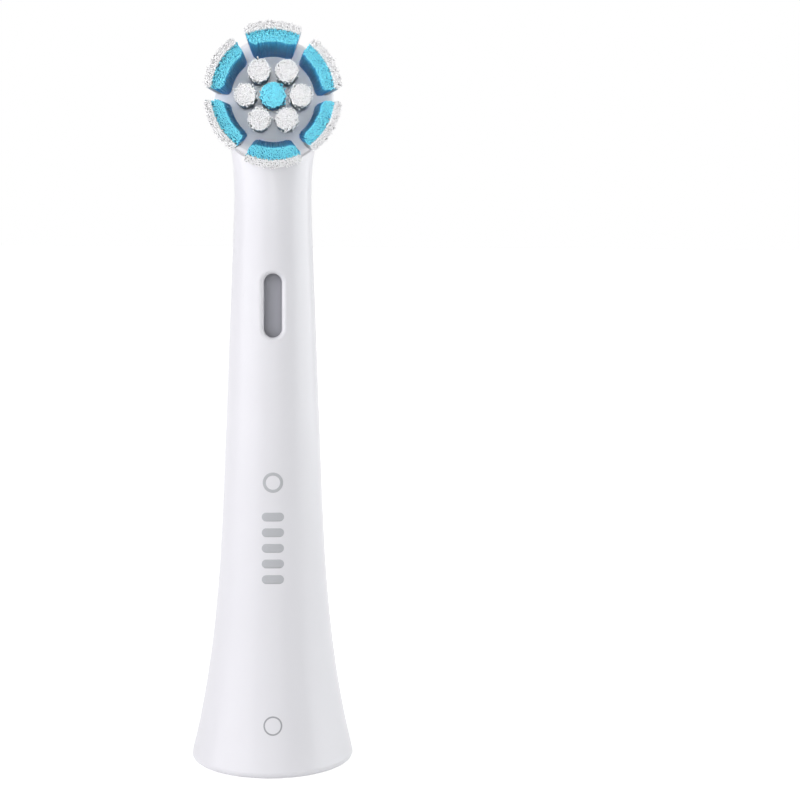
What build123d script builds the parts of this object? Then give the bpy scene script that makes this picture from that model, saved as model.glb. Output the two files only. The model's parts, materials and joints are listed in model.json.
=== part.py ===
"""Oscillating electric toothbrush head: hollow neck, round brush and the rod that drives it.

Millimetres, +Z up. The origin is the centre of the handle socket's mouth, level with the rim
that the head stands on, and the bristles point along -Y.
"""

import os
from math import asin, cos, degrees, hypot, radians, sin, sqrt

from build123d import *

# Neck housing, with heights above the rim
brush_height = 72.85
base_radius = 9.16
flare_top = 32.0
flare_power = 2.75
collar_radius = 5.39
waist_height = 64.2
waist_half_width = 4.12
waist_half_depth = 3.91
wall = 1.0
section_count = 13
base_edge_round = 0.55

# Round head of the housing, behind the brush
head_radius = 5.6
head_depth = 5.2
head_back_round = 3.0
cup_wall = 1.2
shoulder_inset = 0.1
back_inset = 0.3

# Drain window in the front of the neck
window_height = 50.9
window_length = 6.9
window_width = 1.9
window_edge_round = 0.42

# Brush carrier, with distances along Y from the neck's axis
carrier_front = -4.3
carrier_radius = 6.5
carrier_thickness = 2.4
carrier_rim_round = 0.45
carrier_side_gap = 0.25
carrier_rear_gap = 0.3
hub_radius = 1.25
hub_end_gap = 0.2

# Steel pins
axle_radius = 0.6
axle_back_skin = 0.5
axle_cap = 1.3
axle_clearance = 0.03
retainer_radius = 0.3
retainer_inset = 0.6
retainer_plate_gap = 0.4
retainer_recess = 0.25
retainer_clearance = 0.05
groove_depth = 0.3
drive_pin_radius = 0.5
drive_pin_offset = 2.3
drive_slot_depth = 0.9
drive_slot_clearance = 0.06
drive_slot_play = 0.35
pin_end_gap = 0.1
press_clearance = 0.01

# Bristle tufts
root_depth = 1.0
outer_tuft_count = 6
inner_tuft_count = 6
tuft_rim_margin = 0.35
white_band = 0.7
blue_band = 0.95
spoke_width = 1.0
tuft_inner_corner = 0.5
tuft_outer_corner = 0.3
tuft_line_corner = 0.1
colour_line_gap = 0.04
blue_lean = 0.5
line_lean = 0.75
white_lean = 0.85
end_tuft_extra_lean = 0.4
blue_tuft_length = 7.9
white_tuft_length = 8.3
inner_ring_radius = 2.85
inner_tuft_radius = 1.05
inner_tuft_tip_radius = 1.22
inner_tuft_length = 7.6
centre_tuft_radius = 1.15
centre_tuft_tip_radius = 1.34
centre_tuft_length = 7.8

# Connector insert in the base
socket_radius = 4.2
socket_depth = 13.0
sleeve_wall = 0.8
deck_thickness = 1.2
guide_wall = 0.8
guide_height = 4.5
flange_height = 2.4
flange_thickness = 1.2
snap_depth = 0.5
snap_clearance = 0.05
rib_count = 6
rib_thickness = 0.8
rib_drop = 1.4
key_width = 1.4
key_depth = 0.5
catch_height = 7.0
catch_length = 3.0
catch_width = 2.4

# Drive rod and its spring
stroke = 0.9
rod_foot_radius = 2.8
rod_foot_clearance = 0.15
rod_wall_gap = 0.6
rod_face_half_width = 1.4
rod_face_thickness = 1.2
rod_web_half_width = 0.6
rod_web_back = 1.4
rod_plate_thickness = 1.6
rod_plate_gap = 0.5
rod_hub_gap = 0.2
rod_side_gap = 0.35
rod_stem_below_brush = 10.55
rod_shoulder_rise = 1.0
rod_splice = 4.0
rod_tab_length = 2.4
seat_height = 22.0
seat_thickness = 1.4
seat_clearance = 0.35
magnet_radius = 2.1
magnet_thickness = 2.0
spring_wire_radius = 0.22
spring_turns = 6
spring_clearance = 0.18

# Places that follow from the sizes above
carrier_rear = carrier_front + carrier_thickness
head_front = carrier_rear + carrier_rear_gap
head_back = head_front + head_depth
rod_plate_front = head_front + rod_plate_gap
rod_plate_back = rod_plate_front + rod_plate_thickness
retainer_y = rod_plate_back + retainer_plate_gap + retainer_radius
hub_rear = retainer_y + retainer_inset
cup_floor = hub_rear + hub_end_gap
axle_back = head_back - axle_back_skin
cup_radius = head_radius - cup_wall
rod_eye_radius = drive_pin_offset - hub_radius - rod_hub_gap
cavity_top = brush_height - sqrt(cup_radius**2 - (drive_pin_offset + rod_eye_radius + rod_side_gap) ** 2)
groove_radius = hub_radius - groove_depth
retainer_height = brush_height - groove_radius - retainer_radius - retainer_clearance
deck_top = socket_depth + deck_thickness
guide_radius = rod_foot_radius + rod_foot_clearance
sleeve_radius = socket_radius + sleeve_wall
rod_foot_height = deck_top
outer_tuft_outer_edge = carrier_radius - tuft_rim_margin
outer_tuft_colour_line = outer_tuft_outer_edge - white_band
outer_tuft_inner_edge = outer_tuft_colour_line - blue_band
outer_half_span = 180 / outer_tuft_count - degrees(asin(spoke_width / 2 / outer_tuft_colour_line))
outer_angles = [90 + 360 / outer_tuft_count * index for index in range(outer_tuft_count)]
inner_angles = [360 / inner_tuft_count * index for index in range(inner_tuft_count)]


def ease(share):
    """Run from 0 to 1 with a level start and end."""
    share = min(max(share, 0.0), 1.0)
    return share * share * (3 - 2 * share)


def straight_taper(half_size, height):
    """A half size at the waist, carried up or down the neck along its straight taper."""
    taper = (collar_radius - waist_half_width) / (waist_height - flare_top)
    return half_size + taper * (waist_height - height)


def half_width(height):
    """Half the neck's width seen from the front, with its flared foot and its shoulders."""
    flare = max(1 - height / flare_top, 0.0) ** flare_power
    foot = base_radius - straight_taper(waist_half_width, 0)
    rise = ease((height - waist_height) / (brush_height - waist_height))
    shoulder = head_radius - shoulder_inset - straight_taper(waist_half_width, brush_height)
    return straight_taper(waist_half_width, height) + foot * flare + shoulder * rise


def half_depth(height):
    """Half the neck's depth seen from the side: round at the foot, flatter towards the head."""
    if height > waist_height:
        rise = ease((height - waist_height) / (brush_height - waist_height))
        shoulder = head_back - back_inset - straight_taper(waist_half_depth, brush_height)
        return straight_taper(waist_half_depth, height) + shoulder * rise
    flattening = ease((height - flare_top) / (waist_height - flare_top))
    return half_width(height) - (waist_half_width - waist_half_depth) * flattening


def stations(top):
    """Heights of the neck's sections, evenly spaced so that the skin between them stays fair."""
    return [top * step / section_count for step in range(section_count + 1)]


def outside_wall_middle(edge):
    """Whether an edge in the neck's front wall lies on its outer side."""
    return edge.center().Y < wall / 2 - half_depth(edge.center().Z)


def facing_front(y, height=brush_height, turn=0):
    """A plane that looks out along -Y, with its own x along +X, or turned from it towards +Z."""
    x_dir = (cos(radians(turn)), 0, sin(radians(turn)))
    return Plane(origin=(0, y, height), x_dir=x_dir, z_dir=(0, -1, 0))


def arc_section(plane, inner, outer, inner_corner, outer_corner):
    """A ring segment with rounded corners, centred on the plane's own x axis."""
    with BuildSketch(plane) as section:
        with BuildLine():
            near = CenterArc((0, 0), inner, -outer_half_span, 2 * outer_half_span)
            far = CenterArc((0, 0), outer, -outer_half_span, 2 * outer_half_span)
            Line(near @ 0, far @ 0)
            Line(near @ 1, far @ 1)
        make_face()
        fillet(section.vertices().sort_by_distance((0, 0, 0))[:2], inner_corner)
        fillet(section.vertices().sort_by_distance((0, 0, 0))[-2:], outer_corner)
    return section.sketch


def round_section(plane, x, radius):
    """A disc at x on the plane's own x axis."""
    with BuildSketch(plane) as section:
        with Locations((x, 0)):
            Circle(radius)
    return section.sketch


def inner_root(angle):
    """An inner tuft where it leaves the carrier."""
    return round_section(facing_front(carrier_front, turn=angle), inner_ring_radius, inner_tuft_radius)


def outer_root(angle, blue):
    """The blue or the white half of an outer tuft where it leaves the carrier."""
    plane = facing_front(carrier_front, turn=angle)
    line = outer_tuft_colour_line
    gap = colour_line_gap / 2
    if blue:
        return arc_section(plane, outer_tuft_inner_edge, line - gap, tuft_inner_corner, tuft_line_corner)
    return arc_section(plane, line + gap, outer_tuft_outer_edge, tuft_line_corner, tuft_outer_corner)


def outer_tip(angle, blue):
    """The same half at its tips, which lean out, and most of all along the neck."""
    length = blue_tuft_length if blue else white_tuft_length
    plane = facing_front(carrier_front - length, turn=angle)
    extra = end_tuft_extra_lean * sin(radians(angle)) ** 2
    line = outer_tuft_colour_line + (line_lean + extra) * length / blue_tuft_length
    gap = colour_line_gap / 2
    if blue:
        inner = outer_tuft_inner_edge + blue_lean + extra
        return arc_section(plane, inner, line - gap, tuft_inner_corner, tuft_line_corner)
    outer = outer_tuft_outer_edge + white_lean + extra
    return arc_section(plane, line + gap, outer, tuft_line_corner, tuft_outer_corner)


def finish(piece, name):
    """Name a finished piece and write it to its own file."""
    piece.part.label = name
    export_step(piece.part, f"parts/{name}.step")


os.makedirs("parts", exist_ok=True)

# Snap groove inside the foot that holds the insert's flange
groove_outer = half_width(flange_height + flange_thickness) - wall + snap_depth

# White neck: outer skin and round head, then the hollow, the brush's seat and the window
with BuildPart() as neck_housing:
    with BuildSketch(facing_front(head_front)):
        Circle(head_radius)
    extrude(amount=-head_depth)
    fillet(neck_housing.faces().sort_by(Axis.Y)[-1].edges(), head_back_round)
    for height in stations(brush_height):
        with BuildSketch(Plane.XY.offset(height)):
            Ellipse(half_width(height), half_depth(height))
    loft()
    fillet(neck_housing.edges().group_by(Axis.Z)[0], base_edge_round)
    for height in stations(cavity_top):
        with BuildSketch(Plane.XY.offset(height)):
            Ellipse(half_width(height) - wall, half_depth(height) - wall)
    loft(mode=Mode.SUBTRACT)
    with BuildSketch(facing_front(head_front)):
        Circle(cup_radius)
    extrude(amount=head_front - cup_floor, mode=Mode.SUBTRACT)
    with BuildSketch(facing_front(head_front)):
        Circle(carrier_radius + carrier_side_gap)
    extrude(amount=base_radius, mode=Mode.SUBTRACT)
    with BuildSketch(facing_front(cup_floor)):
        Circle(axle_radius + press_clearance)
    extrude(amount=cup_floor - axle_back, mode=Mode.SUBTRACT)
    with BuildSketch(Plane(origin=(0, retainer_y, retainer_height), z_dir=(1, 0, 0))):
        Circle(retainer_radius + press_clearance)
    extrude(amount=head_radius, both=True, mode=Mode.SUBTRACT)
    with BuildSketch(Plane.XY.offset(flange_height)):
        Circle(groove_outer)
    extrude(amount=flange_thickness, mode=Mode.SUBTRACT)
    with BuildSketch(facing_front(0, window_height)):
        SlotOverall(window_length, window_width, rotation=90)
    extrude(amount=base_radius, mode=Mode.SUBTRACT)
    window_edges = neck_housing.edges(Select.LAST).filter_by(GeomType.LINE, reverse=True)
    fillet(window_edges.filter_by(outside_wall_middle), window_edge_round)
finish(neck_housing, "neck_housing")

# Grey insert: handle socket with its key groove and catches, flange, deck and rod guide
with BuildPart() as connector_insert:
    with BuildSketch():
        Circle(sleeve_radius)
    extrude(amount=deck_top)
    with BuildSketch(Plane.XY.offset(flange_height + snap_clearance)):
        Circle(groove_outer - snap_clearance)
    extrude(amount=flange_thickness - 2 * snap_clearance)
    rib_reach = half_width(flange_height) - wall - snap_clearance
    with BuildSketch(Plane.XY.offset(flange_height - rib_drop)):
        with PolarLocations(rib_reach / 2, rib_count):
            Rectangle(rib_reach, rib_thickness)
    extrude(amount=rib_drop + snap_clearance)
    with BuildSketch(Plane.XY.offset(deck_top)):
        Circle(guide_radius + guide_wall)
    extrude(amount=guide_height)
    with BuildSketch():
        Circle(socket_radius)
        with Locations((0, (socket_radius + key_depth) / 2)):
            Rectangle(key_width, socket_radius + key_depth)
    extrude(amount=socket_depth, mode=Mode.SUBTRACT)
    with BuildSketch(Plane.XY.offset(socket_depth)):
        Circle(guide_radius)
    extrude(amount=deck_thickness + guide_height, mode=Mode.SUBTRACT)
    with BuildSketch(Plane.YZ):
        with Locations((0, catch_height + catch_length / 2)):
            Rectangle(catch_width, catch_length)
    extrude(amount=sleeve_radius, both=True, mode=Mode.SUBTRACT)
finish(connector_insert, "connector_insert")

# Steel axle, blind in the head's back wall and blind in the carrier
axle_front = carrier_front + axle_cap
with BuildPart() as axle_pin:
    with BuildSketch(facing_front(axle_back)):
        Circle(axle_radius)
    extrude(amount=axle_back - axle_front - pin_end_gap)
finish(axle_pin, "axle_pin")

# Cross pin that runs in the hub's groove
retainer_half_length = sqrt(head_radius**2 - (brush_height - retainer_height) ** 2) - retainer_recess
with BuildPart() as retaining_pin:
    with BuildSketch(Plane(origin=(0, retainer_y, retainer_height), z_dir=(1, 0, 0))):
        Circle(retainer_radius)
    extrude(amount=retainer_half_length, both=True)
finish(retaining_pin, "retaining_pin")

# Drive rod: foot with the magnet's recess, spring seat, T-shaped stem and an offset eye at the top
stem_low = seat_height + seat_thickness
stem_high = brush_height - rod_stem_below_brush
stem_front_low = rod_wall_gap + wall - half_depth(stem_low)
stem_front_high = rod_wall_gap + wall - half_depth(stem_high)
seat_radius = half_depth(stem_low + stroke) - wall - seat_clearance
with BuildPart() as drive_rod:
    with BuildSketch(Plane.XY.offset(rod_foot_height)):
        Circle(rod_foot_radius)
    extrude(amount=stem_low - rod_foot_height)
    with BuildSketch(Plane.XY.offset(rod_foot_height)):
        Circle(magnet_radius + press_clearance)
    extrude(amount=magnet_thickness, mode=Mode.SUBTRACT)
    with BuildSketch(Plane.XY.offset(seat_height)):
        Circle(seat_radius)
    extrude(amount=seat_thickness)
    with BuildSketch(Plane.YZ):
        with BuildLine():
            Polyline(
                (stem_front_low, stem_low),
                (stem_front_low + rod_face_thickness, stem_low),
                (stem_front_high + rod_face_thickness, stem_high),
                (stem_front_high, stem_high),
                close=True,
            )
        make_face()
    extrude(amount=rod_face_half_width, both=True)
    with BuildSketch(Plane.YZ):
        with BuildLine():
            Polyline(
                (stem_front_low, stem_low),
                (rod_web_back, stem_low),
                (rod_web_back, stem_high),
                (stem_front_high, stem_high),
                close=True,
            )
        make_face()
    extrude(amount=rod_web_half_width, both=True)
    with BuildSketch(facing_front(rod_plate_front, 0)):
        with BuildLine():
            Polyline(
                (-rod_face_half_width, stem_high - rod_splice),
                (rod_face_half_width, stem_high - rod_splice),
                (rod_face_half_width, stem_high + rod_shoulder_rise),
                (drive_pin_offset + rod_eye_radius, brush_height - rod_tab_length),
                (drive_pin_offset + rod_eye_radius, brush_height),
                (drive_pin_offset - rod_eye_radius, brush_height),
                (drive_pin_offset - rod_eye_radius, brush_height - rod_tab_length),
                (-rod_face_half_width, stem_high + rod_shoulder_rise),
                close=True,
            )
        make_face()
        with Locations((drive_pin_offset, brush_height)):
            Circle(rod_eye_radius)
    extrude(amount=-rod_plate_thickness)
    extrude(
        round_section(facing_front(rod_plate_front), drive_pin_offset, drive_pin_radius + press_clearance),
        amount=-rod_plate_thickness,
        mode=Mode.SUBTRACT,
    )
finish(drive_rod, "drive_rod")

# Eccentric pin that turns the carrier
drive_pin_front = carrier_rear - drive_slot_depth + pin_end_gap
with BuildPart() as drive_pin:
    extrude(
        round_section(facing_front(rod_plate_back), drive_pin_offset, drive_pin_radius),
        amount=rod_plate_back - drive_pin_front,
    )
finish(drive_pin, "drive_pin")

# Magnet in the rod's foot
with BuildPart() as coupling_magnet:
    with BuildSketch(Plane.XY.offset(rod_foot_height)):
        Circle(magnet_radius)
    extrude(amount=magnet_thickness)
finish(coupling_magnet, "coupling_magnet")

# Coil between the insert's deck and the rod's seat
spring_radius = guide_radius + guide_wall + spring_clearance + spring_wire_radius
spring_foot = deck_top + spring_wire_radius
spring_rise = seat_height - spring_wire_radius - spring_foot
with BuildPart() as return_spring:
    with BuildLine() as coil:
        Helix(spring_rise / spring_turns, spring_rise, spring_radius, center=(0, 0, spring_foot))
    with BuildSketch(Plane(origin=coil.line @ 0, z_dir=coil.line % 0)):
        Circle(spring_wire_radius)
    sweep(path=coil.line, is_frenet=True)
finish(return_spring, "return_spring")

# Light grey carrier: disc, hub with bore and groove, slot for the drive pin, sockets for the tufts
slot_inner = drive_pin_offset - drive_pin_radius - drive_slot_play
slot_outer = hypot(drive_pin_offset, stroke) + drive_pin_radius + drive_slot_play
with BuildPart() as brush_carrier:
    with BuildSketch(facing_front(carrier_rear)):
        Circle(carrier_radius)
    extrude(amount=carrier_thickness)
    fillet(brush_carrier.edges().filter_by(GeomType.CIRCLE), carrier_rim_round)
    with BuildSketch(facing_front(carrier_rear)):
        Circle(hub_radius)
    extrude(amount=carrier_rear - hub_rear)
    with BuildSketch(facing_front(retainer_y)):
        Circle(hub_radius)
        Circle(groove_radius, mode=Mode.SUBTRACT)
    extrude(amount=retainer_radius + retainer_clearance, both=True, mode=Mode.SUBTRACT)
    with BuildSketch(facing_front(hub_rear)):
        Circle(axle_radius + axle_clearance)
    extrude(amount=hub_rear - axle_front, mode=Mode.SUBTRACT)
    with BuildSketch(facing_front(carrier_rear)):
        with Locations(((slot_inner + slot_outer) / 2, 0)):
            SlotOverall(slot_outer - slot_inner, 2 * (drive_pin_radius + drive_slot_clearance))
    extrude(amount=drive_slot_depth, mode=Mode.SUBTRACT)
    for angle in outer_angles:
        for blue in (True, False):
            extrude(outer_root(angle, blue), amount=-root_depth, mode=Mode.SUBTRACT)
    for angle in inner_angles:
        extrude(inner_root(angle), amount=-root_depth, mode=Mode.SUBTRACT)
    with BuildSketch(facing_front(carrier_front)):
        Circle(centre_tuft_radius)
    extrude(amount=-root_depth, mode=Mode.SUBTRACT)
finish(brush_carrier, "brush_carrier")

# Outer tufts, counted from the top, leaning out and leaning most along the neck
for index, angle in enumerate(outer_angles, start=1):
    for colour, blue in (("blue", True), ("white", False)):
        with BuildPart() as outer_tuft:
            root = outer_root(angle, blue)
            extrude(root, amount=-root_depth)
            loft([root, outer_tip(angle, blue)])
        finish(outer_tuft, f"outer_{colour}_tuft_{index}")

# Inner ring of round tufts
for index, angle in enumerate(inner_angles, start=1):
    with BuildPart() as inner_tuft:
        root = inner_root(angle)
        tip_plane = facing_front(carrier_front - inner_tuft_length, turn=angle)
        extrude(root, amount=-root_depth)
        loft([root, round_section(tip_plane, inner_ring_radius, inner_tuft_tip_radius)])
    finish(inner_tuft, f"inner_tuft_{index}")

# Middle tuft
with BuildPart() as centre_tuft:
    root = round_section(facing_front(carrier_front), 0, centre_tuft_radius)
    extrude(root, amount=-root_depth)
    loft([root, round_section(facing_front(carrier_front - centre_tuft_length), 0, centre_tuft_tip_radius)])
finish(centre_tuft, "centre_tuft")
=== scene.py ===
"""Looks of an oscillating electric toothbrush head, laid out as an add-on and run as a script.

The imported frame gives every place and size: filaments fill the tufts that it holds, prints lie on
its neck, and each carried-over piece gets the finish of its real material. Metres, +Z up, bristles
along -Y.
"""

import json
import math

import bmesh
import bpy
import numpy as np
from bpy.props import FloatProperty, FloatVectorProperty, IntProperty, PointerProperty
from mathutils import Matrix, Vector


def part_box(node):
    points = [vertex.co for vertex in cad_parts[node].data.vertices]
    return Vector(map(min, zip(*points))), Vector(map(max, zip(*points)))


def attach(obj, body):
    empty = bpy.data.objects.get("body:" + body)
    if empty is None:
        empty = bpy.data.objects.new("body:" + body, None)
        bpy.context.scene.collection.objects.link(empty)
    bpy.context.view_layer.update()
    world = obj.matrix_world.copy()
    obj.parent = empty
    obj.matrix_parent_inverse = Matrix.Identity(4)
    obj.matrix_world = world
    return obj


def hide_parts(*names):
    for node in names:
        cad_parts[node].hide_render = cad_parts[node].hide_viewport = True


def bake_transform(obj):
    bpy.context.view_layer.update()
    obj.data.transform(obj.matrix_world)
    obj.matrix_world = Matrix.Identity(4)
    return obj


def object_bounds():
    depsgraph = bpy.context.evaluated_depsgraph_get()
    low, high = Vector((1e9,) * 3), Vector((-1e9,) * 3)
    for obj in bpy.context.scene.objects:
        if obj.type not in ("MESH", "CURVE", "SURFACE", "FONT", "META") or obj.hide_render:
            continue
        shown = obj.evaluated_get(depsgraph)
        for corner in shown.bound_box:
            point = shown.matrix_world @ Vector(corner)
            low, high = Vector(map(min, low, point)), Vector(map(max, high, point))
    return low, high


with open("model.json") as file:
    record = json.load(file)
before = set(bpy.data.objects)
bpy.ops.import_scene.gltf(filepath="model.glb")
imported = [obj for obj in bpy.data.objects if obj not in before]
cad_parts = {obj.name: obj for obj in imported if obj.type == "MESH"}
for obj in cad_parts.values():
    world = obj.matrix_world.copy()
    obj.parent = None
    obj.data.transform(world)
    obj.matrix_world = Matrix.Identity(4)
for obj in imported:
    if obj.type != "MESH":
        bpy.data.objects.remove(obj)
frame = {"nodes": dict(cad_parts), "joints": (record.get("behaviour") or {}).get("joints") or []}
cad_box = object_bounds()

bl_info = {
    "name": "Toothbrush head looks",
    "version": (1, 0, 0),
    "blender": (4, 5, 0),
    "location": "3D View > Sidebar > Brush head",
    "description": "Bristles, prints, finishes and stage for an oscillating toothbrush head",
    "category": "Object",
}

MM = 0.001
LEVEL_TOLERANCE = 0.01 * MM
WHITE = (1.0, 1.0, 1.0, 1.0)
TUFT_NUMBERS = range(1, 7)

# Form of a filament: shares of its length at which its bend is drawn, then its rounded end as
# distances from the tip and widths, both in radii
FILAMENT_SIDES = 6
BEND_SHARES = (0.4, 0.8)
ROUNDED_END = ((0.5, 1.0), (0.14, 0.76), (0.0, 0.0))
# How far a filament stands off its even place, as a share of the pitch
PLACE_JITTER = 0.22
# How sharply the short filaments thin out, and the strays away from a tuft's border
SHORT_END_POWER = 3
STRAY_EDGE_POWER = 6
# Corner radii of the outer tufts, towards the brush's axis and away from it
BLUE_CORNERS = (0.5 * MM, 0.1 * MM)
WHITE_CORNERS = (0.1 * MM, 0.3 * MM)

# Nylon: shares of a filament's length where the colours of root, side and tip stand, the tone of
# the dullest and the clearest filament, and the share of light that goes through
# The root's colour is painted shade deep in the bundle; the tip's paler colour is partly the ground
# end's frosting and partly painted highlight
ROOT_SHARE, SIDE_SHARES, TIP_SHARE = 0.1, (0.72, 0.93), 0.99
NYLON_TONES = (0.9, 1.04)
NYLON_TRANSLUCENCY = 0.1
# Moulded plastic: how far its tone drops and its gloss varies
TONE_DROP = 0.97
GLOSS_RANGE = (0.85, 1.15)
# Drawn steel: how much its lines are drawn out, and how far its gloss varies
LINE_STRETCH = (1.0, 0.05, 1.0)
STREAK_RANGE = (0.7, 1.3)
# Ink: size of its speckle in millimetres, and how far that drops its tone
SPECKLE = 0.12
SPECKLE_DROP = 0.95

# Prints: points along and across each mark, how deep its film reaches into the neck, how far in
# front of the part the search for the skin starts, and the height left at the end of a bar
PRINT_ROWS = 7
RING_STEPS = 72
BAR_STEPS = 32
PRINT_SINK = 0.02 * MM
SEARCH_START = 10 * MM
BAR_END_SHARE = 0.05

# Stage: half width of the floor, where its glow starts to rise and where it is full, and the
# spread in degrees of a softbox without a grid
FLOOR_REACH = 3.0
GLOW_START, GLOW_END = 20 * MM, 400 * MM
OPEN_SPREAD = 180

brush_joint = next(joint for joint in frame["joints"] if joint["name"] == "brush_oscillation")
brush_axis = Vector(brush_joint["pos_m"])
carrier_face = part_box("brush_carrier")[0].y


def linear(hex_colour):
    """Turn an sRGB hex value into linear red, green and blue."""
    channels = [int(hex_colour[place : place + 2], 16) / 255 for place in (0, 2, 4)]
    return tuple(c / 12.92 if c <= 0.04045 else ((c + 0.055) / 1.055) ** 2.4 for c in channels)


def length(name, description, millimetres):
    """A length that a user may change, given in millimetres and kept in metres."""
    return FloatProperty(
        name=name,
        description=description,
        default=millimetres * MM,
        min=0.0,
        precision=5,
        subtype="DISTANCE",
        unit="LENGTH",
    )


def colour(name, description, hex_colour):
    """A colour that a user may change, given as an sRGB hex value."""
    return FloatVectorProperty(
        name=name,
        description=description,
        default=linear(hex_colour),
        min=0.0,
        max=1.0,
        size=3,
        subtype="COLOR",
    )


def angle(name, description, degrees):
    """An angle that a user may change, given in degrees and kept in radians."""
    return FloatProperty(
        name=name,
        description=description,
        default=math.radians(degrees),
        subtype="ANGLE",
        unit="ROTATION",
    )


def power(name, description, watts):
    """A lamp's power that a user may change."""
    return FloatProperty(
        name=name,
        description=description,
        default=watts,
        min=0.0,
        precision=5,
        subtype="POWER",
        unit="POWER",
    )


class PlasticSettings(bpy.types.PropertyGroup):
    """Colours of the moulded pieces."""

    shell: colour("Neck", "White of the neck housing", "e4e4e7")
    carrier: colour("Carrier", "Light grey of the disc that holds the tufts", "ebecef")
    insert: colour("Insert", "Grey of the handle socket", "a9abaf")
    rod: colour("Rod", "Grey of the drive rod behind the window", "a6a7ae")


class BristleSettings(bpy.types.PropertyGroup):
    """Filaments of the tufts and their colours."""

    diameter: length("Filament", "Diameter of one filament", 0.165)
    pitch: length("Tip pitch", "Distance between neighbouring filaments at their tips", 0.138)
    end_scatter: length("End scatter", "How much shorter than its tuft a filament may be", 0.16)
    side_scatter: length("Side scatter", "How far a filament's end stands off its place", 0.02)
    bow: length("Bow", "How far a filament bends between its root and its tip", 0.018)
    stray_reach: length("Stray reach", "How far a stray filament leans out of its tuft", 0.27)
    stray_share: FloatProperty(
        name="Strays",
        description="Share of the filaments at a tuft's outer border that lean out of it",
        default=0.45,
        min=0.0,
        max=1.0,
        subtype="FACTOR",
    )
    seed: IntProperty(name="Seed", description="Start of the random draws", default=7, min=0)
    # The root colours are painted shade, darker where the filaments stand deep in their tuft; the
    # paler tip colours are partly the ground ends' frosting and partly painted highlight
    blue_root_painted_shade: colour("Blue root", "Blue filaments deep in their tuft", "50bcff")
    blue_side: colour("Blue side", "Blue filaments half way up", "5ed2ff")
    blue_tip_frost_and_highlight: colour("Blue tip", "Ground ends of the blue filaments", "80ecff")
    white_root_painted_shade: colour("White root", "White filaments deep in their tuft", "dcdddb")
    white_side: colour("White side", "White filaments half way up", "f0f1f0")
    white_tip_frost_and_highlight: colour("White tip", "Ground ends of the white filaments", "fdfdfd")


class PrintSettings(bpy.types.PropertyGroup):
    """Grey marks printed on the front of the neck."""

    upper_height: length("Upper ring height", "Height of the upper ring's centre", 31.84)
    upper_diameter: length("Upper ring", "Outer diameter of the upper ring", 2.2)
    upper_band: length("Upper band", "Width of the upper ring's line", 0.33)
    lower_height: length("Lower ring height", "Height of the lower ring's centre", 5.61)
    lower_diameter: length("Lower ring", "Outer diameter of the lower ring", 2.04)
    lower_band: length("Lower band", "Width of the lower ring's line", 0.17)
    bar_count: IntProperty(
        name="Bars",
        description="Number of bars in the column",
        default=5,
        min=1,
    )
    bar_width: length("Bar width", "Width of one bar", 2.4)
    bar_thickness: length("Bar thickness", "Height of one bar", 0.95)
    bar_pitch: length("Bar pitch", "Distance from one bar to the next", 1.7)
    bars_height: length("Bars height", "Height of the middle of the column", 24.7)
    ink_thickness: length("Ink", "Thickness of the ink", 0.012)
    ink: colour("Ink colour", "Grey of the ink", "b9bbbe")
    fine_ink: colour("Fine ink colour", "Grey of the thin lower ring", "a4a5a8")


class StageSettings(bpy.types.PropertyGroup):
    """Camera, lamps and floor."""

    distance: length("Camera distance", "Distance from the camera to the neck's axis", 198.5)
    height: length("Camera height", "Height of the camera above the floor", 60.8)
    pitch: angle("Pitch", "How far the camera looks down", 5.89)
    yaw: angle("Yaw", "How far the camera looks to the right of the head", 4.06)
    roll: angle("Roll", "Turn of the camera about its own line of sight", 0.43)
    lens: FloatProperty(
        name="Lens",
        description="Focal length",
        default=81.0,
        min=1.0,
        unit="CAMERA",
    )
    left_power: power("Left", "Power of the left softbox", 2.4)
    right_power: power("Right", "Power of the right softbox", 2.25)
    front_power: power("Front", "Power of the softbox behind the camera", 0.7)
    top_power: power("Top", "Power of the softbox overhead", 0.5)
    brush_power: power("Brush", "Power of the narrow softbox in front of the tufts", 0.00017)
    ambient: FloatProperty(
        name="Ambient",
        description="Strength of the room's own light",
        default=0.15,
        min=0.0,
    )
    paper_glow: FloatProperty(
        name="Paper glow",
        description="How white the paper shows round the head, before its shadow",
        default=0.6,
        min=0.0,
    )
    floor: colour("Floor", "White of the paper on the floor", "e8e8e8")


class BrushHeadSettings(bpy.types.PropertyGroup):
    """Everything that a user would change."""

    plastics: PointerProperty(type=PlasticSettings)
    bristles: PointerProperty(type=BristleSettings)
    prints: PointerProperty(type=PrintSettings)
    stage: PointerProperty(type=StageSettings)


def add_node(tree, kind, inputs=None, **settings):
    """Add a shader node with its settings, and give each named input a value or a link."""
    node = tree.nodes.new(kind)
    for name, value in settings.items():
        setattr(node, name, value)
    for name, value in (inputs or {}).items():
        if isinstance(value, bpy.types.NodeSocket):
            tree.links.new(value, node.inputs[name])
        else:
            node.inputs[name].default_value = value
    return node


def start_material(name, **sockets):
    """Make a material, and return it with its node tree and its shader, whose sockets are set."""
    material = bpy.data.materials.new(name)
    material.use_nodes = True
    shader = material.node_tree.nodes["Principled BSDF"]
    for socket, value in sockets.items():
        shader.inputs[socket.replace("_", " ")].default_value = value
    return material, material.node_tree, shader


def opaque(rgb):
    """A colour with full alpha."""
    return (*rgb, 1.0)


def darker(rgb, share):
    """A colour brought down to a share of its strength."""
    return tuple(share * channel for channel in rgb)


def per_metre(millimetres):
    """Scale of a pattern whose features are that far apart."""
    return 1 / (millimetres * MM)


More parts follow.
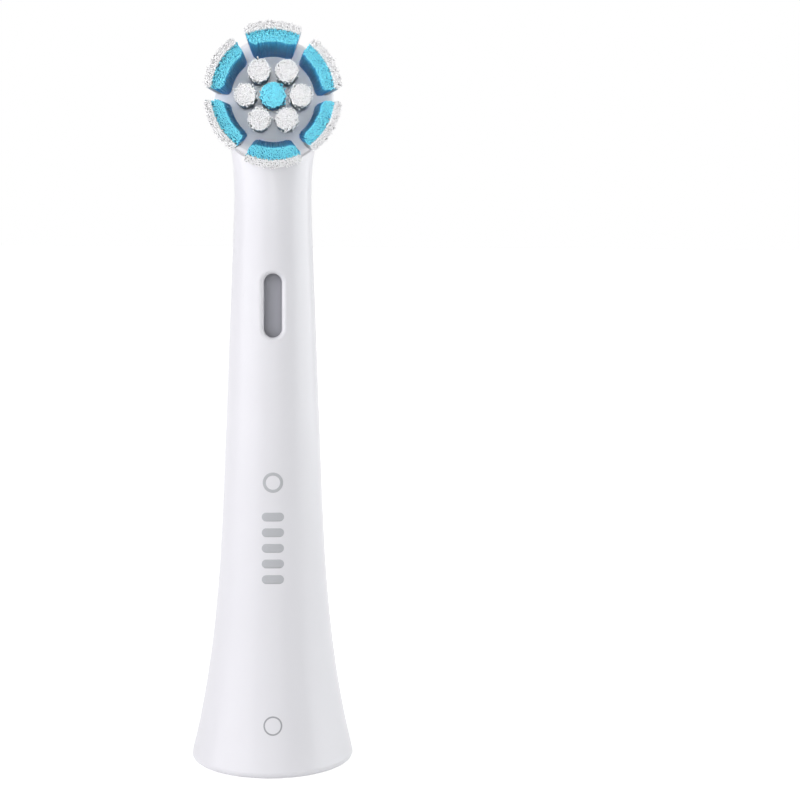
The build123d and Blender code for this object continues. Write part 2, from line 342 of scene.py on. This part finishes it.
def moulded_plastic(name, rgb, roughness, grain, grain_height, mottle, ior):
    """Injection-moulded plastic: the mould's grain breaks up the gloss, and the tone drifts."""
    material, tree, shader = start_material(name, Roughness=roughness, IOR=ior)
    place = add_node(tree, "ShaderNodeTexCoord")
    drift = add_node(
        tree,
        "ShaderNodeTexNoise",
        {"Vector": place.outputs["Object"], "Scale": per_metre(mottle), "Detail": 2.0},
    )
    tone = add_node(
        tree,
        "ShaderNodeMix",
        {"Factor": drift.outputs["Fac"], "A": opaque(rgb), "B": opaque(darker(rgb, TONE_DROP))},
        data_type="RGBA",
    )
    tree.links.new(tone.outputs[2], shader.inputs["Base Color"])
    skin = add_node(
        tree,
        "ShaderNodeTexNoise",
        {"Vector": place.outputs["Object"], "Scale": per_metre(grain), "Detail": 3.0},
    )
    gloss = add_node(
        tree,
        "ShaderNodeMapRange",
        {
            "Value": skin.outputs["Fac"],
            "To Min": GLOSS_RANGE[0] * roughness,
            "To Max": GLOSS_RANGE[1] * roughness,
        },
    )
    tree.links.new(gloss.outputs["Result"], shader.inputs["Roughness"])
    bump = add_node(
        tree,
        "ShaderNodeBump",
        {"Height": skin.outputs["Fac"], "Distance": grain_height * MM, "Strength": 1.0},
    )
    tree.links.new(bump.outputs["Normal"], shader.inputs["Normal"])
    return material


def drawn_steel(name, hex_colour, roughness, streak):
    """Steel drawn through a die: fine lines along its length streak the reflections."""
    material, tree, shader = start_material(name, Metallic=1.0)
    shader.inputs["Base Color"].default_value = opaque(linear(hex_colour))
    place = add_node(tree, "ShaderNodeTexCoord")
    stretch = add_node(
        tree,
        "ShaderNodeMapping",
        {"Vector": place.outputs["Object"], "Scale": LINE_STRETCH},
    )
    lines = add_node(
        tree,
        "ShaderNodeTexNoise",
        {"Vector": stretch.outputs["Vector"], "Scale": per_metre(streak), "Detail": 3.0},
    )
    gloss = add_node(
        tree,
        "ShaderNodeMapRange",
        {
            "Value": lines.outputs["Fac"],
            "To Min": STREAK_RANGE[0] * roughness,
            "To Max": STREAK_RANGE[1] * roughness,
        },
    )
    tree.links.new(gloss.outputs["Result"], shader.inputs["Roughness"])
    return material


def extruded_nylon(name, root, side, tip):
    """Extruded nylon filament, darkened towards its root by painted shade deep in its bundle, with
    a paler tip that is partly the ground end's frosting and partly painted highlight.
    """
    material, tree, shader = start_material(name, Roughness=0.42, IOR=1.53)
    along = add_node(tree, "ShaderNodeAttribute", attribute_name="along")
    shade = add_node(tree, "ShaderNodeAttribute", attribute_name="shade")
    # Painted shade: the ramp darkens the filament from its side colour down to its root colour,
    # deep in the bundle where shade falls; the paler tip colour is partly frosting and partly
    # painted highlight
    ramp = add_node(tree, "ShaderNodeValToRGB", {"Fac": along.outputs["Fac"]})
    stops = ramp.color_ramp.elements
    stops[0].position, stops[0].color = ROOT_SHARE, opaque(root)
    stops[1].position, stops[1].color = TIP_SHARE, opaque(tip)
    for share in SIDE_SHARES:
        stops.new(share).color = opaque(side)
    value = add_node(
        tree,
        "ShaderNodeMapRange",
        {"Value": shade.outputs["Fac"], "To Min": NYLON_TONES[0], "To Max": NYLON_TONES[1]},
    )
    tone = add_node(
        tree,
        "ShaderNodeHueSaturation",
        {"Color": ramp.outputs["Color"], "Value": value.outputs["Result"]},
    )
    tree.links.new(tone.outputs["Color"], shader.inputs["Base Color"])
    through = add_node(tree, "ShaderNodeBsdfTranslucent", {"Color": tone.outputs["Color"]})
    both = add_node(
        tree,
        "ShaderNodeMixShader",
        {0: NYLON_TRANSLUCENCY, 1: shader.outputs["BSDF"], 2: through.outputs["BSDF"]},
    )
    tree.links.new(both.outputs["Shader"], tree.nodes["Material Output"].inputs["Surface"])
    return material


def pad_printed_ink(name, rgb):
    """Pad-printed ink: a thin matt film with the faint speckle of its pigment."""
    material, tree, shader = start_material(name, Roughness=0.5, IOR=1.48)
    place = add_node(tree, "ShaderNodeTexCoord")
    speckle = add_node(
        tree,
        "ShaderNodeTexNoise",
        {"Vector": place.outputs["Object"], "Scale": per_metre(SPECKLE), "Detail": 2.0},
    )
    tone = add_node(
        tree,
        "ShaderNodeMix",
        {
            "Factor": speckle.outputs["Fac"],
            "A": opaque(darker(rgb, SPECKLE_DROP)),
            "B": opaque(rgb),
        },
        data_type="RGBA",
    )
    tree.links.new(tone.outputs[2], shader.inputs["Base Color"])
    return material


def seen_ray(tree):
    """1 on rays from the camera, off gloss and through glass, 0 on rays that only carry light."""
    path = add_node(tree, "ShaderNodeLightPath")
    seen = path.outputs["Is Camera Ray"]
    for ray in ("Is Glossy Ray", "Is Transmission Ray"):
        either = add_node(
            tree,
            "ShaderNodeMath",
            {0: seen, 1: path.outputs[ray]},
            operation="MAXIMUM",
        )
        seen = either.outputs["Value"]
    return seen


def coat(node, material):
    """Give a carried-over piece its finish."""
    slots = frame["nodes"][node].data.materials
    slots.clear()
    slots.append(material)


def add_mesh(name, vertices, faces, material):
    """Make an object from points and faces, with its material."""
    mesh = bpy.data.meshes.new(name)
    mesh.from_pydata(vertices, [], faces)
    mesh.materials.append(material)
    piece = bpy.data.objects.new(name, mesh)
    bpy.context.scene.collection.objects.link(piece)
    return piece


def section_points(node, level):
    """A tuft's corner points in the plane y = level, as x and z from the brush's axis."""
    points = np.array([vertex.co for vertex in frame["nodes"][node].data.vertices])
    points = points[np.abs(points[:, 1] - level) < LEVEL_TOLERANCE]
    return points[:, 0] - brush_axis.x, points[:, 2] - brush_axis.z


def ring_section(node, level):
    """Inner radius, outer radius, middle angle and half span of an outer tuft at that level."""
    x, z = section_points(node, level)
    radius = np.hypot(x, z)
    middle = math.atan2(z.mean(), x.mean())
    aside = (np.arctan2(z, x) - middle + math.pi) % math.tau - math.pi
    middle += (aside.max() + aside.min()) / 2
    return radius.min(), radius.max(), middle, (aside.max() - aside.min()) / 2


def disc_section(node, level):
    """Centre and radius of a round tuft at that level."""
    x, z = section_points(node, level)
    centre = np.array([x.max() + x.min(), z.max() + z.min()]) / 2
    return centre, (x.max() - x.min()) / 2


def ring_places(section, across, around, inset):
    """Points of a ring segment at shares across its band and around its span, in from its edge."""
    inner, outer, middle, half_span = section
    radius = inner + inset + (outer - inner - 2 * inset) * across
    turn = middle + around * (half_span - inset / radius)
    return np.stack([radius * np.cos(turn), radius * np.sin(turn)], axis=-1)


def filament_faces(count, rings):
    """Faces of alike filaments, each with that many rings of points and one point for its tip."""
    tip = rings * FILAMENT_SIDES
    last = tip - FILAMENT_SIDES
    pairs = [(side, (side + 1) % FILAMENT_SIDES) for side in range(FILAMENT_SIDES)]
    walls = []
    for near in range(0, last, FILAMENT_SIDES):
        far = near + FILAMENT_SIDES
        walls += [(near + side, near + after, far + after, far + side) for side, after in pairs]
    ends = [(last + side, last + after, tip) for side, after in pairs]
    feet = [tuple(reversed(range(FILAMENT_SIDES)))]
    starts = np.arange(count)[:, None, None] * (tip + 1)
    faces = []
    for pattern in (walls, ends, feet):
        pattern = np.array(pattern)
        faces += (pattern[None] + starts).reshape(-1, pattern.shape[1]).tolist()
    return faces


def plant(name, node, roots, tips, edge, material, draw):
    """Grow one tuft in place of its solid: a filament with a rounded end from each root to its tip.

    edge runs from 0 deep in the tuft to 1 at its outer border, where the stray filaments stand.
    """
    bristles = bpy.context.scene.brush_head.bristles
    low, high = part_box(node)
    count = len(roots)
    radius = bristles.diameter / 2
    full_length = carrier_face - low.y
    free_length = full_length - bristles.end_scatter * draw.random(count) ** SHORT_END_POWER
    out = tips - tips.mean(axis=0)
    out /= np.linalg.norm(out, axis=1, keepdims=True) + LEVEL_TOLERANCE
    lean = bristles.stray_reach * edge**STRAY_EDGE_POWER * draw.random(count)
    lean *= draw.random(count) < bristles.stray_share
    ends = tips + draw.normal(0, bristles.side_scatter, (count, 2)) + out * lean[:, None]
    bow = draw.normal(0, bristles.bow, (count, 2))
    corners = np.arange(FILAMENT_SIDES) * math.tau / FILAMENT_SIDES
    corners = draw.uniform(0, math.tau, count)[:, None] + corners
    spokes = np.stack([np.cos(corners), np.sin(corners)], axis=-1)
    foot_share = (carrier_face - high.y) / full_length
    stations = [(share, 1.0) for share in (foot_share, 0.0, *BEND_SHARES)]
    stations += [(1 - back * radius / full_length, width) for back, width in ROUNDED_END]
    rings, along = [], []
    for share, width in stations:
        rise = max(share, 0.0)
        centre = roots + (ends - roots) * rise + bow * 4 * rise * (1 - rise)
        y = np.where(share < 0, high.y, carrier_face - free_length * share)
        sides = FILAMENT_SIDES if width else 1
        ring = centre[:, None, :] + radius * width * spokes[:, :sides]
        level = np.broadcast_to(y[:, None], ring.shape[:2])
        x, z = ring[..., 0] + brush_axis.x, ring[..., 1] + brush_axis.z
        rings.append(np.stack([x, level, z], axis=-1))
        along += [rise] * sides
    vertices = np.concatenate(rings, axis=1).reshape(-1, 3)
    faces = filament_faces(count, len(stations) - 1)
    piece = add_mesh(name, vertices.tolist(), faces, material)
    for attribute, values in (
        ("along", np.tile(along, count)),
        ("shade", np.repeat(draw.random(count), len(along))),
    ):
        layer = piece.data.attributes.new(attribute, "FLOAT", "POINT")
        layer.data.foreach_set("value", values.astype(np.float32))
    piece.data.shade_smooth()
    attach(piece, "brush")
    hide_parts(node)
    return piece


def plant_ring_segment(name, node, corners, material, draw):
    """Fill an outer tuft with staggered rows of filaments that fan out towards its tips."""
    bristles = bpy.context.scene.brush_head.bristles
    radius = bristles.diameter / 2
    root = ring_section(node, carrier_face)
    tip = ring_section(node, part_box(node)[0].y)
    inner, outer, _, half_span = tip
    row_pitch = bristles.pitch * math.sqrt(3) / 2
    rows = round((outer - inner - 2 * radius) / row_pitch) + 1
    columns = round((inner + outer) * half_span / bristles.pitch)
    row_places = np.linspace(0, 1, rows)
    column_places = (np.arange(columns) + 0.5) / columns
    across, around = np.meshgrid(row_places, column_places, indexing="ij")
    around = around + (np.arange(rows) % 2 - 0.5)[:, None] * 0.5 / columns
    across = across + draw.uniform(-PLACE_JITTER, PLACE_JITTER, across.shape) / rows
    around = around + draw.uniform(-PLACE_JITTER, PLACE_JITTER, around.shape) / columns
    across = across.ravel().clip(0, 1)
    around = (2 * around - 1).ravel().clip(-1, 1)
    from_inner = across * (outer - inner)
    from_outer = (outer - inner) - from_inner
    from_side = (1 - np.abs(around)) * half_span * (inner + from_inner)
    kept = np.ones(len(across), dtype=bool)
    for corner, from_edge in zip(corners, (from_inner, from_outer)):
        beside = np.hypot(np.maximum(corner - from_edge, 0), np.maximum(corner - from_side, 0))
        kept &= beside <= corner
    across, around = across[kept], around[kept]
    roots = ring_places(root, across, around, radius / 2)
    tips = ring_places(tip, across, around, radius / 2)
    return plant(name, node, roots, tips, across, material, draw)


def plant_disc(name, node, material, draw):
    """Fill a round tuft with filaments set in a sunflower's even spiral."""
    bristles = bpy.context.scene.brush_head.bristles
    inset = bristles.diameter / 2
    root_centre, root_radius = disc_section(node, carrier_face)
    tip_centre, tip_radius = disc_section(node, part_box(node)[0].y)
    count = round(math.pi * tip_radius**2 / (bristles.pitch**2 * math.sqrt(3) / 2))
    order = np.arange(count)
    reach = np.sqrt((order + 0.5) / count)
    turn = order * math.pi * (3 - math.sqrt(5)) + draw.uniform(0, math.tau)
    places = np.stack([reach * np.cos(turn), reach * np.sin(turn)], axis=-1)
    jitter = draw.uniform(-PLACE_JITTER, PLACE_JITTER, places.shape)
    places += jitter * bristles.pitch / tip_radius
    roots = root_centre + places * (root_radius - inset)
    tips = tip_centre + places * (tip_radius - inset)
    return plant(name, node, roots, tips, reach, material, draw)


def skin_at(x, z):
    """Where a line from the front meets the neck, and which way the skin faces there."""
    start = Vector((x, cad_box[0].y - SEARCH_START, z))
    met, place, normal, _ = frame["nodes"]["neck_housing"].ray_cast(start, Vector((0, 1, 0)))
    if not met:
        raise RuntimeError(f"the print at x {x:.4f}, z {z:.4f} lies off the neck")
    return place, normal


def ring_grid(height, diameter, band):
    """Rows of points round a printed ring, from its outer edge to its inner edge."""
    turns = [math.tau * place / RING_STEPS for place in range(RING_STEPS)]
    rows = []
    for row in range(PRINT_ROWS):
        radius = diameter / 2 - band * row / (PRINT_ROWS - 1)
        rows.append([(radius * math.cos(turn), height + radius * math.sin(turn)) for turn in turns])
    return rows


def bar_grid(height, width, thickness):
    """Rows of points along a bar with round ends, from its lower edge to its upper edge."""
    half_flat = (width - thickness) / 2
    shares = [math.sin(math.pi * (place / BAR_STEPS - 0.5)) for place in range(BAR_STEPS + 1)]
    columns = []
    for share in shares:
        x = share * width / 2
        beyond = max(abs(x) - half_flat, 0.0) / (thickness / 2)
        columns.append((x, thickness / 2 * math.sqrt(max(1 - beyond**2, BAR_END_SHARE**2))))
    levels = [2 * row / (PRINT_ROWS - 1) - 1 for row in range(PRINT_ROWS)]
    return [[(x, height + level * half) for x, half in columns] for level in levels]


def lay_print(name, grids, closed, material):
    """Lay a film of ink on the neck for each grid; a closed grid's rows end where they start."""
    thickness = bpy.context.scene.brush_head.prints.ink_thickness
    film = bmesh.new()
    for grid in grids:
        layers = []
        for lift in (thickness, -PRINT_SINK):
            rows = []
            for row in grid:
                spots = [skin_at(x, z) for x, z in row]
                rows.append([film.verts.new(place + normal * lift) for place, normal in spots])
            layers.append(rows)
        top, bottom = layers
        strips = [(top[0], bottom[0]), (top[-1], bottom[-1])]
        strips += list(zip(top, top[1:])) + list(zip(bottom, bottom[1:]))
        for one, other in strips:
            for place in range(0 if closed else 1, len(one)):
                film.faces.new((one[place - 1], one[place], other[place], other[place - 1]))
        for end in () if closed else (0, -1):
            for row in range(1, len(top)):
                upper = top[row - 1][end], top[row][end]
                lower = bottom[row][end], bottom[row - 1][end]
                film.faces.new(upper + lower)
    bmesh.ops.recalc_face_normals(film, faces=film.faces)
    mesh = bpy.data.meshes.new(name)
    film.to_mesh(mesh)
    film.free()
    mesh.materials.append(material)
    mesh.shade_smooth()
    piece = bpy.data.objects.new(name, mesh)
    bpy.context.scene.collection.objects.link(piece)
    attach(piece, "housing")
    return piece


class FinishHousing(bpy.types.Operator):
    """Give the neck housing its gloss white finish"""

    bl_idname = "brush_head.finish_housing"
    bl_label = "Finish the neck housing"

    def execute(self, context):
        # Polypropylene from a polished mould: a satin gloss with a trace of orange peel
        plastics = context.scene.brush_head.plastics
        shell = moulded_plastic(
            "moulded_white_polypropylene",
            plastics.shell,
            roughness=0.3,
            grain=0.5,
            grain_height=0.0012,
            mottle=9.0,
            ior=1.49,
        )
        coat("neck_housing", shell)
        return {"FINISHED"}


class FinishDrive(bpy.types.Operator):
    """Give the socket, the rod, the pins, the magnet and the spring their finishes"""

    bl_idname = "brush_head.finish_drive"
    bl_label = "Finish the drive"

    def execute(self, context):
        # Acetal from a spark-eroded mould: matt, with a fine even grain
        plastics = context.scene.brush_head.plastics
        for node, rgb in (("connector_insert", plastics.insert), ("drive_rod", plastics.rod)):
            acetal = moulded_plastic(
                f"moulded_grey_acetal_{node}",
                rgb,
                roughness=0.5,
                grain=0.2,
                grain_height=0.003,
                mottle=6.0,
                ior=1.48,
            )
            coat(node, acetal)
        # Drawn pin stock: bright, with fine lines along each pin
        pin_steel = drawn_steel("drawn_stainless_steel", "b9bbbd", roughness=0.28, streak=0.06)
        for node in ("axle_pin", "retaining_pin", "drive_pin"):
            coat(node, pin_steel)
        # Nickel plate over a ground disc: bright and a little warm, with the grinding's broad lines
        plate = drawn_steel("nickel_plated_magnet", "c3bfb4", roughness=0.2, streak=0.3)
        coat("coupling_magnet", plate)
        # Hard-drawn spring wire: greyer and duller than the pins
        self.fit_spring(drawn_steel("drawn_spring_steel", "a3a6aa", roughness=0.34, streak=0.05))
        return {"FINISHED"}

    def fit_spring(self, steel):
        """The coil's foot stays on its deck; a copy of the coil takes the steel and stands in place
        of the carried-over spring.
        """
        node = frame["nodes"]["return_spring"]
        mesh = node.data.copy()
        mesh.materials.clear()
        mesh.materials.append(steel)
        coil = bpy.data.objects.new("return_spring_coil", mesh)
        coil.matrix_world = node.matrix_world.copy()
        bpy.context.scene.collection.objects.link(coil)
        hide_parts("return_spring")
        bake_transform(coil)


class FinishCarrier(bpy.types.Operator):
    """Give the disc that holds the tufts its light grey finish"""

    bl_idname = "brush_head.finish_carrier"
    bl_label = "Finish the carrier"

    def execute(self, context):
        # Acetal from a fine-ground mould: satin, a little softer than the neck
        carrier = moulded_plastic(
            "moulded_light_grey_acetal",
            context.scene.brush_head.plastics.carrier,
            roughness=0.42,
            grain=0.25,
            grain_height=0.002,
            mottle=4.0,
            ior=1.48,
        )
        coat("brush_carrier", carrier)
        return {"FINISHED"}


class PlantOuterTufts(bpy.types.Operator):
    """Grow the outer tufts, blue inside and white outside"""

    bl_idname = "brush_head.plant_outer_tufts"
    bl_label = "Plant the outer tufts"

    def execute(self, context):
        bristles = context.scene.brush_head.bristles
        # Both nylons are painted darker towards their roots as shade, and paler at their tips
        # partly as painted highlight
        blue = extruded_nylon(
            "extruded_blue_nylon",
            bristles.blue_root_painted_shade,
            bristles.blue_side,
            bristles.blue_tip_frost_and_highlight,
        )
        white = extruded_nylon(
            "extruded_white_nylon",
            bristles.white_root_painted_shade,
            bristles.white_side,
            bristles.white_tip_frost_and_highlight,
        )
        halves = (("blue", blue, BLUE_CORNERS), ("white", white, WHITE_CORNERS))
        for number in TUFT_NUMBERS:
            for half, (shade, nylon, corners) in enumerate(halves):
                plant_ring_segment(
                    f"outer_{shade}_bristles_{number}",
                    f"outer_{shade}_tuft_{number}",
                    corners,
                    nylon,
                    np.random.default_rng([bristles.seed, number, half]),
                )
        return {"FINISHED"}


class PlantInnerTufts(bpy.types.Operator):
    """Grow the ring of white tufts and the blue tuft in the middle"""

    bl_idname = "brush_head.plant_inner_tufts"
    bl_label = "Plant the inner tufts"

    def execute(self, context):
        bristles = context.scene.brush_head.bristles
        white = bpy.data.materials["extruded_white_nylon"]
        blue = bpy.data.materials["extruded_blue_nylon"]
        for number in TUFT_NUMBERS:
            draw = np.random.default_rng([bristles.seed, number, 2])
            tuft = f"inner_tuft_{number}"
            plant_disc(f"inner_bristles_{number}", tuft, white, draw)
        draw = np.random.default_rng([bristles.seed, 0, 2])
        plant_disc("centre_bristles", "centre_tuft", blue, draw)
        return {"FINISHED"}


class LayPrints(bpy.types.Operator):
    """Print two rings and a plain column of bars on the front of the neck"""

    bl_idname = "brush_head.lay_prints"
    bl_label = "Lay the prints"

    def execute(self, context):
        prints = context.scene.brush_head.prints
        ink = pad_printed_ink("pad_printed_grey_ink", prints.ink)
        fine_ink = pad_printed_ink("pad_printed_fine_grey_ink", prints.fine_ink)
        upper = ring_grid(prints.upper_height, prints.upper_diameter, prints.upper_band)
        lower = ring_grid(prints.lower_height, prints.lower_diameter, prints.lower_band)
        lay_print("upper_ring_print", [upper], True, ink)
        lay_print("lower_ring_print", [lower], True, fine_ink)
        bars = []
        for place in range(prints.bar_count):
            height = prints.bars_height + (place - (prints.bar_count - 1) / 2) * prints.bar_pitch
            bars.append(bar_grid(height, prints.bar_width, prints.bar_thickness))
        lay_print("bar_column_print", bars, False, ink)
        return {"FINISHED"}


class SetStage(bpy.types.Operator):
    """Set the floor, the lamps, the white surroundings and the camera"""

    bl_idname = "brush_head.set_stage"
    bl_label = "Set the stage"

    def execute(self, context):
        stage = context.scene.brush_head.stage
        self.lay_floor(stage)
        self.hang_softboxes(stage)
        self.whiten_surroundings(context.scene, stage)
        self.place_camera(context.scene, stage)
        context.scene.view_settings.view_transform = "Standard"
        return {"FINISHED"}

    def lay_floor(self, stage):
        """A wide sheet of white paper that still takes the head's shadow."""
        # Uncoated paper: matt, so that it mirrors nothing. It glows to white away from the head
        paper, tree, shader = start_material("matt_white_paper", Roughness=0.9)
        shader.inputs["Base Color"].default_value = opaque(stage.floor)
        place = add_node(tree, "ShaderNodeTexCoord")
        away = add_node(
            tree,
            "ShaderNodeVectorMath",
            {0: place.outputs["Object"]},
            operation="LENGTH",
        )
        glow = add_node(
            tree,
            "ShaderNodeMapRange",
            {
                "Value": away.outputs["Value"],
                "From Min": GLOW_START,
                "From Max": GLOW_END,
                "To Min": stage.paper_glow,
                "To Max": 1.0,
            },
        )
        lift = add_node(
            tree,
            "ShaderNodeMath",
            {0: seen_ray(tree), 1: glow.outputs["Result"]},
            operation="MULTIPLY",
        )
        shader.inputs["Emission Color"].default_value = WHITE
        tree.links.new(lift.outputs["Value"], shader.inputs["Emission Strength"])
        signs = ((-1, -1), (1, -1), (1, 1), (-1, 1))
        corners = [(x * FLOOR_REACH, y * FLOOR_REACH, 0) for x, y in signs]
        floor = add_mesh("floor", corners, [(0, 1, 2, 3)], paper)

    def hang_softboxes(self, stage):
        """Large softboxes around the neck, and a narrow one that shines in between the tufts."""
        low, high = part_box("brush_carrier")
        neck = Vector((0, 0, (cad_box[0].z + cad_box[1].z) / 2))
        brush = Vector((0, 0, (low.z + high.z) / 2))
        wide = OPEN_SPREAD
        # Aim, azimuth and elevation, distance, width and height in metres, spread, colour
        softboxes = (
            ("left_softbox", stage.left_power, neck, (-61, 10), 0.45, (0.55, 0.56), wide, "fcfaff"),
            ("right_softbox", stage.right_power, neck, (93, 6), 0.45, (0.5, 0.56), wide, "fcfdff"),
            ("front_softbox", stage.front_power, neck, (-6, 9), 0.6, (0.5, 0.36), wide, "ffffff"),
            ("top_softbox", stage.top_power, neck, (0, 62), 0.5, (0.6, 0.5), wide, "ffffff"),
            ("brush_softbox", stage.brush_power, brush, (0, 0), 0.3, (0.012, 0.012), 3.6, "ffffff"),
        )
        for name, watts, aim, degrees, distance, size, spread, hex_colour in softboxes:
            lamp = bpy.data.lights.new(name, "AREA")
            lamp.shape = "RECTANGLE"
            lamp.size, lamp.size_y = size
            lamp.spread = math.radians(spread)
            lamp.energy = watts
            lamp.color = linear(hex_colour)
            box = bpy.data.objects.new(name, lamp)
            bpy.context.scene.collection.objects.link(box)
            turn, rise = (math.radians(part) for part in degrees)
            level = math.cos(rise)
            away = Vector((math.sin(turn) * level, -math.cos(turn) * level, math.sin(rise)))
            box.location = aim + away * distance
            box.rotation_euler = away.to_track_quat("Z", "Y").to_euler()

    def whiten_surroundings(self, scene, stage):
        """White to the camera and in reflections, dim as the room's own light."""
        world = bpy.data.worlds.new("white_studio")
        world.use_nodes = True
        scene.world = world
        tree = world.node_tree
        tree.nodes.clear()
        room = add_node(tree, "ShaderNodeBackground", {"Color": WHITE, "Strength": stage.ambient})
        white = add_node(tree, "ShaderNodeBackground", {"Color": WHITE, "Strength": 1.0})
        both = add_node(
            tree,
            "ShaderNodeMixShader",
            {0: seen_ray(tree), 1: room.outputs["Background"], 2: white.outputs["Background"]},
        )
        add_node(tree, "ShaderNodeOutputWorld", {"Surface": both.outputs["Shader"]})

    def place_camera(self, scene, stage):
        """In front of the head, a little above its middle, turned so that the head stands left."""
        camera = bpy.data.cameras.new("camera")
        camera.lens = stage.lens
        camera.clip_start = 10 * MM
        holder = bpy.data.objects.new("camera", camera)
        scene.collection.objects.link(holder)
        holder.matrix_world = (
            Matrix.Translation((0, -stage.distance, stage.height))
            @ Matrix.Rotation(-stage.yaw, 4, "Z")
            @ Matrix.Rotation(math.pi / 2 - stage.pitch, 4, "X")
            @ Matrix.Rotation(stage.roll, 4, "Z")
        )
        scene.camera = holder


class BrushHeadPanel(bpy.types.Panel):
    """Sizes, colours and steps of the toothbrush head"""

    bl_idname = "VIEW3D_PT_brush_head"
    bl_label = "Toothbrush head"
    bl_space_type = "VIEW_3D"
    bl_region_type = "UI"
    bl_category = "Brush head"

    def draw(self, context):
        settings = context.scene.brush_head
        for title, group in (
            ("Plastics", settings.plastics),
            ("Bristles", settings.bristles),
            ("Prints", settings.prints),
            ("Stage", settings.stage),
        ):
            box = self.layout.box()
            box.label(text=title)
            for name in group.bl_rna.properties.keys():
                if name not in ("rna_type", "name"):
                    box.prop(group, name)
        for step in steps:
            self.layout.operator(step.bl_idname)


steps = (
    FinishHousing,
    FinishDrive,
    FinishCarrier,
    PlantOuterTufts,
    PlantInnerTufts,
    LayPrints,
    SetStage,
)
classes = (
    PlasticSettings,
    BristleSettings,
    PrintSettings,
    StageSettings,
    BrushHeadSettings,
    *steps,
    BrushHeadPanel,
)


def register():
    for kind in classes:
        bpy.utils.register_class(kind)
    bpy.types.Scene.brush_head = PointerProperty(type=BrushHeadSettings)


def unregister():
    del bpy.types.Scene.brush_head
    for kind in reversed(classes):
        bpy.utils.unregister_class(kind)


def main():
    """Make every piece in order."""
    register()
    bpy.ops.brush_head.finish_housing()
    bpy.ops.brush_head.finish_drive()
    bpy.ops.brush_head.finish_carrier()
    bpy.ops.brush_head.plant_outer_tufts()
    bpy.ops.brush_head.plant_inner_tufts()
    bpy.ops.brush_head.lay_prints()
    bpy.ops.brush_head.set_stage()


if __name__ == "__main__":
    main()
